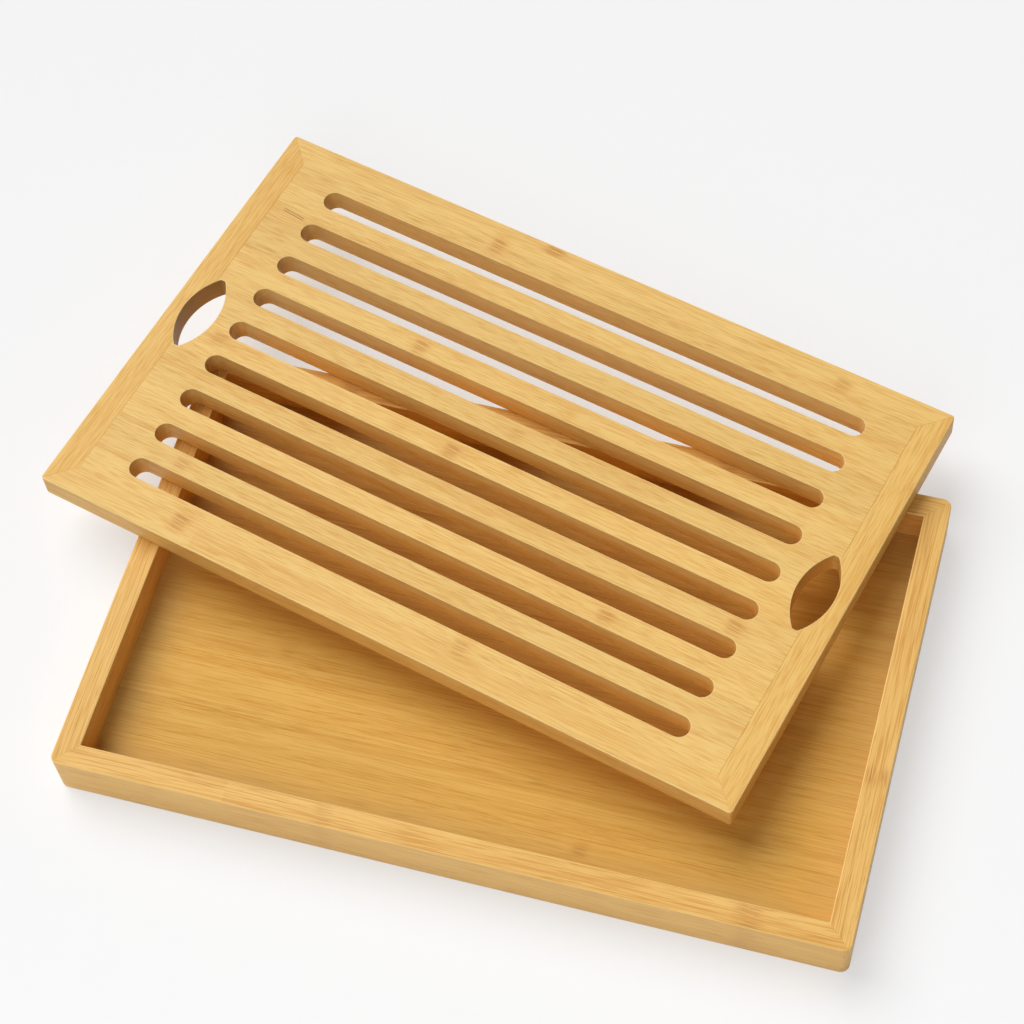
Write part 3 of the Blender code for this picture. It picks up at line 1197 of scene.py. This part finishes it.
@dataclass
class Studio:
    """A plain pale floor, soft light from the rear left with a soft box in front, and the camera."""

    floor_size: float = 60.0
    floor_drop: float = 0.0002
    floor_colour: Colour = (253, 253, 253)
    speckle_colour: Colour = (251, 251, 252)
    floor_roughness: float = 0.7
    floor_specular: float = 0.1
    glow_colour: Colour = (252, 252, 252)
    floor_glow: float = 0.56
    sky_colour: Colour = (250, 250, 252)
    sky_strength: float = 0.10
    seen_sky_strength: float = 0.906
    key_strength: float = 2.52
    key_angle: float = math.radians(50.0)
    key_from: Point = (-0.82, 0.28, 1.13)
    box_power: float = 7.8
    box_size: float = 1.2
    box_place: Point = (0.30, -1.20, 1.05)
    target: Point = (-0.0412, 0.0730, 0.0)
    azimuth: float = math.radians(-35.4)
    elevation: float = math.radians(59.6)
    roll: float = math.radians(6.7)
    distance: float = 1.365
    lens: float = 91.4
    sensor_width: float = 36.0
    clip: Pair = (0.05, 30.0)

    def build(self) -> None:
        """Makes the floor, the light and the camera."""
        self.build_floor()
        self.build_light()
        self.build_camera()

    def build_floor(self) -> None:
        """Lays the floor just under the tray."""
        bpy.ops.object.select_all(action="DESELECT")
        bpy.ops.mesh.primitive_plane_add(size=self.floor_size, location=(0.0, 0.0, -self.floor_drop))
        floor = bpy.context.active_object
        floor.name = "studio_floor"
        material = bpy.data.materials.new("studio_floor_paint")
        material.use_nodes = True
        bench = NodeBench(material.node_tree)
        shader = material.node_tree.nodes["Principled BSDF"]
        speckle = bench.noise(bench.add("TexCoord").outputs["Object"], SPECKLE)
        bench.feed(shader, {
            "Base Color": bench.mix(speckle, linear(self.floor_colour), linear(self.speckle_colour)),
            "Roughness": self.floor_roughness,
            "Specular IOR Level": self.floor_specular,
        })
        glow = bench.add("Emission", {"Color": linear(self.glow_colour), "Strength": 1.0}).outputs["Emission"]
        share = bench.times(self.seen_rays(bench), self.floor_glow)
        blend = bench.add("MixShader", {0: share, 1: shader.outputs["BSDF"], 2: glow}).outputs["Shader"]
        bench.feed(material.node_tree.nodes["Material Output"], {"Surface": blend})
        floor.data.materials.append(material)

    def seen_rays(self, bench: NodeBench) -> Socket:
        """Tells what is seen, directly, in gloss or through glass, from what lights the object.

        Args:
            bench: The node tree.

        Returns:
            1 or 0.
        """
        rays = bench.add("LightPath").outputs
        seen = bench.math("MAXIMUM", rays["Is Camera Ray"], rays["Is Glossy Ray"])
        return bench.math("MAXIMUM", seen, rays["Is Transmission Ray"])

    def add_lamp(self, kind: str, name: str, source: Point, energy: float) -> bpy.types.Light:
        """Adds a lamp that faces the middle.

        Args:
            kind: SUN or AREA.
            name: The lamp's name.
            source: Where its light comes from.
            energy: How strong it is.

        Returns:
            The lamp's own settings.
        """
        bpy.ops.object.light_add(type=kind, location=source)
        lamp = bpy.context.active_object
        lamp.name = name
        lamp.data.energy = energy
        lamp.rotation_euler = Vector(source).to_track_quat("Z", "Y").to_euler()
        return lamp.data

    def build_light(self) -> None:
        """Sets the even white surroundings, a soft key light and a soft box as fill."""
        world = bpy.data.worlds.new("studio_world")
        bpy.context.scene.world = world
        world.use_nodes = True
        bench = NodeBench(world.node_tree)
        more = self.seen_sky_strength - self.sky_strength
        strength = bench.math("MULTIPLY_ADD", self.seen_rays(bench), more, self.sky_strength)
        background = world.node_tree.nodes["Background"]
        bench.feed(background, {"Color": linear(self.sky_colour), "Strength": strength})
        self.add_lamp("SUN", "key_light", self.key_from, self.key_strength).angle = self.key_angle
        self.add_lamp("AREA", "fill_light", self.box_place, self.box_power).size = self.box_size

    def build_camera(self) -> None:
        """Places the camera as the photograph's was."""
        flat, drop = math.cos(self.elevation), -math.sin(self.elevation)
        forward = Vector((math.sin(self.azimuth) * flat, math.cos(self.azimuth) * flat, drop))
        right = forward.cross(Vector((0.0, 0.0, 1.0))).normalized()
        down = forward.cross(right)
        across = math.cos(self.roll) * right + math.sin(self.roll) * down
        below = -math.sin(self.roll) * right + math.cos(self.roll) * down
        bpy.ops.object.camera_add(location=Vector(self.target) - forward * self.distance)
        camera = bpy.context.active_object
        camera.name = "photo_camera"
        camera.rotation_euler = Matrix((across, -below, -forward)).transposed().to_euler()
        camera.data.lens = self.lens
        camera.data.sensor_width = self.sensor_width
        camera.data.clip_start, camera.data.clip_end = self.clip
        bpy.context.scene.camera = camera


BOARD_KNUCKLES = (
    Knuckle(-0.062, 0.112, 0.008, 0.004, 0.9),
    Knuckle(-0.033, 0.1215, 0.0032, 0.0062, 1.0),
    Knuckle(0.141, 0.116, 0.0065, 0.0042, 0.6),
    Knuckle(-0.066, 0.036, 0.0062, 0.0042, 0.8),
    Knuckle(0.006, 0.012, 0.0055, 0.004, 0.5, -0.08),
    Knuckle(-0.019, -0.012, 0.0062, 0.0044, 0.9),
    Knuckle(-0.164, -0.0085, 0.0055, 0.0046, 0.6, -0.08),
    Knuckle(0.156, -0.0355, 0.006, 0.005, 0.8),
    Knuckle(0.097, -0.06, 0.0055, 0.0046, 0.8, -0.08),
    Knuckle(-0.139, -0.084, 0.005, 0.004, 0.6),
    Knuckle(-0.121, -0.1125, 0.0085, 0.0048, 0.9),
    Knuckle(0.042, -0.108, 0.0085, 0.0042, 0.6, -0.08),
)
BOARD_SPLITS = (Split(-0.172, 0.0784, 0.0075, slant=-0.11),)
TRAY_KNUCKLES = (
    Knuckle(0.15, -0.1195, 0.009, 0.006, 0.6),
    Knuckle(-0.06, -0.1195, 0.008, 0.004, 0.3, -0.08),
    Knuckle(0.062, -0.098, 0.005, 0.0034, 0.6),
    Knuckle(-0.11, -0.03, 0.005, 0.0034, 0.4),
    Knuckle(0.12, 0.02, 0.005, 0.0034, 0.5, -0.08),
    Knuckle(-0.12, 0.119, 0.008, 0.004, 0.7),
    Knuckle(0.085, 0.119, 0.008, 0.004, 0.6, -0.08),
    Knuckle(-0.194, 0.055, 0.008, 0.004, 0.6),
    Knuckle(0.194, -0.035, 0.008, 0.004, 0.6, -0.08),
)


def main() -> None:
    """Builds the tray, the board and the studio, in that order."""
    logging.basicConfig(level=logging.INFO, format="%(name)s: %(message)s")
    scene = bpy.context.scene
    scene.view_settings.view_transform = "Standard"
    CrumbTray(knuckles=TRAY_KNUCKLES).build()
    SlattedBoard(knuckles=BOARD_KNUCKLES, splits=BOARD_SPLITS).build()
    Studio().build()


if __name__ == "__main__":
    main()
